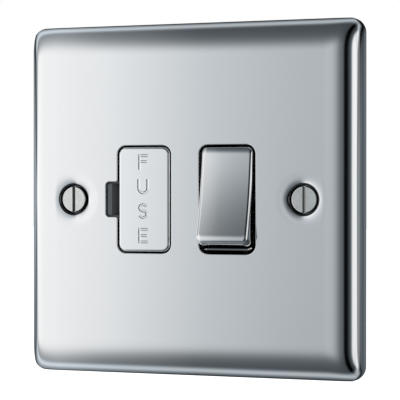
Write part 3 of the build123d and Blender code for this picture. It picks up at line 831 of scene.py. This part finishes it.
# Carrier front: a chrome plated cap over the drawer, with eased edges and the word FUSE engraved down its
# middle. The strokes are cut flat at the bottom, with sloping walls, by a cutter of the same shape.
face_low, face_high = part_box("carrier_face")
face_mid = (face_low + face_high) / 2
carrier_corner = 0.00195
carrier_edge = 0.0007
carrier_skin = 0.0009
edge_steps = 12
half_w = (face_high.x - face_low.x) / 2
half_h = (face_high.z - face_low.z) / 2


def carrier_outline(inset):
    return rounded_outline(face_mid.x, 0, half_w - inset, half_h - inset, carrier_corner - inset)


mesh = bmesh.new()
rows = []
for inset, fall in quarter_round(carrier_edge, edge_steps):
    rows.append(lay_row(mesh, carrier_outline(inset), face_low.y + fall))
rows.append(lay_row(mesh, carrier_outline(0.0), face_high.y))
rows.append(lay_row(mesh, carrier_outline(carrier_skin), face_high.y))
rows.append(lay_row(mesh, carrier_outline(carrier_skin), face_low.y + carrier_skin))
close_rows(mesh, rows)
carrier_front = new_piece("carrier_front", mesh)

# The letters are drawn in millimetres round their own middles, as strokes along these lines.
stroke_top = 0.00033
stroke_floor = 0.00014
cut_depth = 0.00011
cut_over = 0.0001
letter_pitch = 0.00603
letter_x = -0.01113
letter_z = 0.00918
arc_steps = 22
mm_per_metre = 1000


def arc(centre_z, radius_x, radius_z, start, end):
    turns = [math.radians(start + (end - start) * step / arc_steps) for step in range(arc_steps + 1)]
    return [(radius_x * math.cos(turn), centre_z + radius_z * math.sin(turn)) for turn in turns]


letter_f = [[(-0.94, -1.87), (-0.94, 1.87)], [(-1.2, 1.56), (1.25, 1.56)], [(-1.2, 0.1), (0.95, 0.1)]]
letter_u = [[(-1.2, 1.87)] + arc(-0.37, 1.2, 1.2, 180, 360) + [(1.2, 1.87)]]
letter_s = [arc(0.8, 0.96, 0.78, 22, 270)[:-1] + arc(-0.78, 0.98, 0.8, 90, -158)]
letter_e = [[(-0.94, -1.87), (-0.94, 1.87)], [(-1.2, 1.56), (1.25, 1.56)], [(-1.2, 0.0), (1.0, 0.0)],
            [(-1.2, -1.56), (1.25, -1.56)]]


def stroke_rail(line, reach):
    rail = []
    for k, (x, z) in enumerate(line):
        before = Vector(line[max(k - 1, 0)])
        after = Vector(line[min(k + 1, len(line) - 1)])
        along = (after - before).normalized()
        rail.append((x - along.y * reach, z + along.x * reach))
    return rail


def cut_stroke(mesh, line, middle):
    wide = stroke_top * mm_per_metre * (1 + cut_over / cut_depth * (1 - stroke_floor / stroke_top))
    narrow = stroke_floor * mm_per_metre
    rows = []
    for reach, y in ((wide, face_low.y - cut_over), (narrow, face_low.y + cut_depth)):
        loop = stroke_rail(line, reach) + stroke_rail(line, -reach)[::-1]
        placed = [(letter_x + x / mm_per_metre, middle + z / mm_per_metre) for x, z in loop]
        rows.append(lay_row(mesh, placed, y))
    skin_rows(mesh, rows)
    count = len(line)
    for row in rows:
        for k in range(count - 1):
            mesh.faces.new((row[k], row[k + 1], row[2 * count - 2 - k], row[2 * count - 1 - k]))


def carve(piece, cutter):
    cut = piece.modifiers.new("cut", "BOOLEAN")
    cut.operation = "DIFFERENCE"
    cut.solver = "EXACT"
    cut.use_self = True
    cut.object = cutter
    shaped = bpy.data.meshes.new_from_object(piece.evaluated_get(bpy.context.evaluated_depsgraph_get()))
    piece.modifiers.clear()
    piece.data = shaped
    bpy.data.objects.remove(cutter)


for k, letter in enumerate((letter_f, letter_u, letter_s, letter_e)):
    for line in letter:
        mesh = bmesh.new()
        cut_stroke(mesh, line, letter_z - k * letter_pitch)
        carve(carrier_front, new_piece("letter_cutter", mesh))

smooth_by_angle(carrier_front, degrees=24)
true_flat(carrier_front, face_low.y)
carrier_chrome = chrome("carrier_chrome", clear=(0.985, 0.985, 0.985), hazy=(0.97, 0.97, 0.971),
                        patch=120.0, low=0.03, high=0.06)
carrier_front.data.materials.clear()
carrier_front.data.materials.append(carrier_chrome)
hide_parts("carrier_face")
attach(carrier_front, "fuse_carrier")

# Case screws: four zinc plated steel screws with slotted heads, driven from the back through both mouldings
# into the pillars of the plate.
case_zinc = strip_metal("case_zinc", deep=(0.5, 0.52, 0.54), bright=(0.76, 0.77, 0.78),
                        edge=(0.88, 0.89, 0.9), smooth=0.26, rough=0.46, fineness=3600.0, stretch=0.5)
dress(case_zinc, "case_screws")

# Fixing screws: two slotted M3.5 machine screws, turned from steel, nickel plated and set with upright
# slots. The head has a sawn slot, and the shank behind the wall line carries a rolled thread.
screw_low, screw_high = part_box("fixing_screws")
head_sink = 0.00035
head_y = screw_low.y + head_sink
head_r = 0.0032
head_flat = 0.00297
head_back = -0.0049
head_ease = 0.0001
bevel_r = head_r - head_flat
bevel_steps = 6
slot_half = 0.00042
slot_depth = 0.0012
slot_floor = screw_low.y + slot_depth
slot_reach = 0.004
slot_over = 0.001
neck_r = 0.0015
neck_over = 0.0003
thread_r = 0.00175
root_r = 0.00139
thread_pitch = 0.0006
thread_start = 0.0
thread_end = screw_high.y
thread_turn_steps = 32
thread_rows = 8
crest_gain = 1.25
root_flat = 0.1
start_height = 0.3
tip_length = 0.0005
tip_rise = 0.5
tip_height = 0.1
tip_root = 0.55

head_line = [(head_r - inset, head_y + fall) for inset, fall in quarter_round(bevel_r, bevel_steps)]
head_line += [(head_r, head_back - head_ease), (head_r - head_ease, head_back), (neck_r, head_back),
              (neck_r, thread_start + neck_over)]
row_count = int((thread_end - thread_start) / thread_pitch * thread_rows)
screws = bmesh.new()
for side in (-1, 1):
    mesh = bmesh.new()
    close_rows(mesh, [lay_row(mesh, screw_ring(side, radius), y) for radius, y in head_line])
    head = new_piece("screw_head", mesh)
    mesh = bmesh.new()
    saw = [(side * screw_x + x * slot_half, z * slot_reach) for x, z in square_corners]
    close_rows(mesh, [lay_row(mesh, saw, y) for y in (screw_low.y - slot_over, slot_floor)])
    carve(head, new_piece("slot_cutter", mesh))
    screws.from_mesh(head.data)
    bpy.data.objects.remove(head)
    rows = []
    for row in range(row_count + 1):
        y = thread_start + (thread_end - thread_start) * row / row_count
        run_in = (y - thread_start) / thread_pitch + start_height
        run_out = (thread_end - y) / tip_length * tip_rise + tip_height
        ends = min(1.0, run_in, run_out)
        around = []
        for k in range(thread_turn_steps):
            share = (y / thread_pitch - k / thread_turn_steps) % 1.0
            crest = min(1.0, max(0.0, (1.0 - abs(2.0 * share - 1.0)) * crest_gain - root_flat))
            radius = root_r * min(1.0, ends + tip_root) + (thread_r - root_r) * crest * ends
            turn = 2 * math.pi * k / thread_turn_steps
            around.append((side * screw_x + radius * math.cos(turn), radius * math.sin(turn)))
        rows.append(lay_row(screws, around, y))
    close_rows(screws, rows)
turned_screws = new_piece("turned_screws", screws)
smooth_by_angle(turned_screws, degrees=32)
true_flat(turned_screws, head_y)

groove_share = 0.4
stain_share = 0.6
turned, wants, gives = effect("turned_rings", {"Off": screw_x, "Fineness": 9000.0}, ["Height", "Shade"])
spot = object_spot(turned)
radius = from_screw(turned, add(turned, "SeparateXYZ", {0: spot}).outputs, wants["Off"])
ring_at = {"W": reckon(turned, "MULTIPLY", radius, wants["Fineness"]), "Scale": 1.0, "Detail": 2.0}
groove = add(turned, "TexNoise", ring_at, noise_dimensions="1D").outputs["Fac"]
stain = reckon(turned, "MULTIPLY", noise(turned, spot, 700.0, 4.0), stain_share)
turned.links.new(groove, gives["Height"])
turned.links.new(reckon(turned, "MULTIPLY_ADD", groove, groove_share, stain), gives["Shade"])

# The slots and sunk edges below the head's face are painted a dark brownish grey. This is grime, and painted
# shade in the recess.
grime_and_shade_start = 0.00005
grime_and_shade_end = 0.0004
screw_nickel, tree, surface = coating("screw_nickel", Metallic=1.0)
rings = place(tree, turned, Off=screw_x, Fineness=9000.0)
rubbed = place(tree, rub, Reach=0.00012, Depth=0.3)
body = blend_colours(tree, rings["Shade"], (0.52, 0.52, 0.505, 1.0), (0.98, 0.97, 0.955, 1.0))
body = blend_colours(tree, rubbed["Mask"], body, (0.9, 0.89, 0.87, 1.0))
grime_and_shade = place(tree, wells, Off=screw_x, Reach=0.0031, Start=head_y + grime_and_shade_start, End=head_y + grime_and_shade_end)
tree.links.new(blend_colours(tree, grime_and_shade["Mask"], body, (0.5, 0.48, 0.43, 1.0)), surface["Base Color"])
tree.links.new(remap(tree, rings["Shade"], low=0.07, high=0.16), surface["Roughness"])
emboss(tree, surface, rings["Height"], strength=0.1, distance=0.00004)
turned_screws.data.materials.clear()
turned_screws.data.materials.append(screw_nickel)
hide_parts("fixing_screws")
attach(turned_screws, "unit")
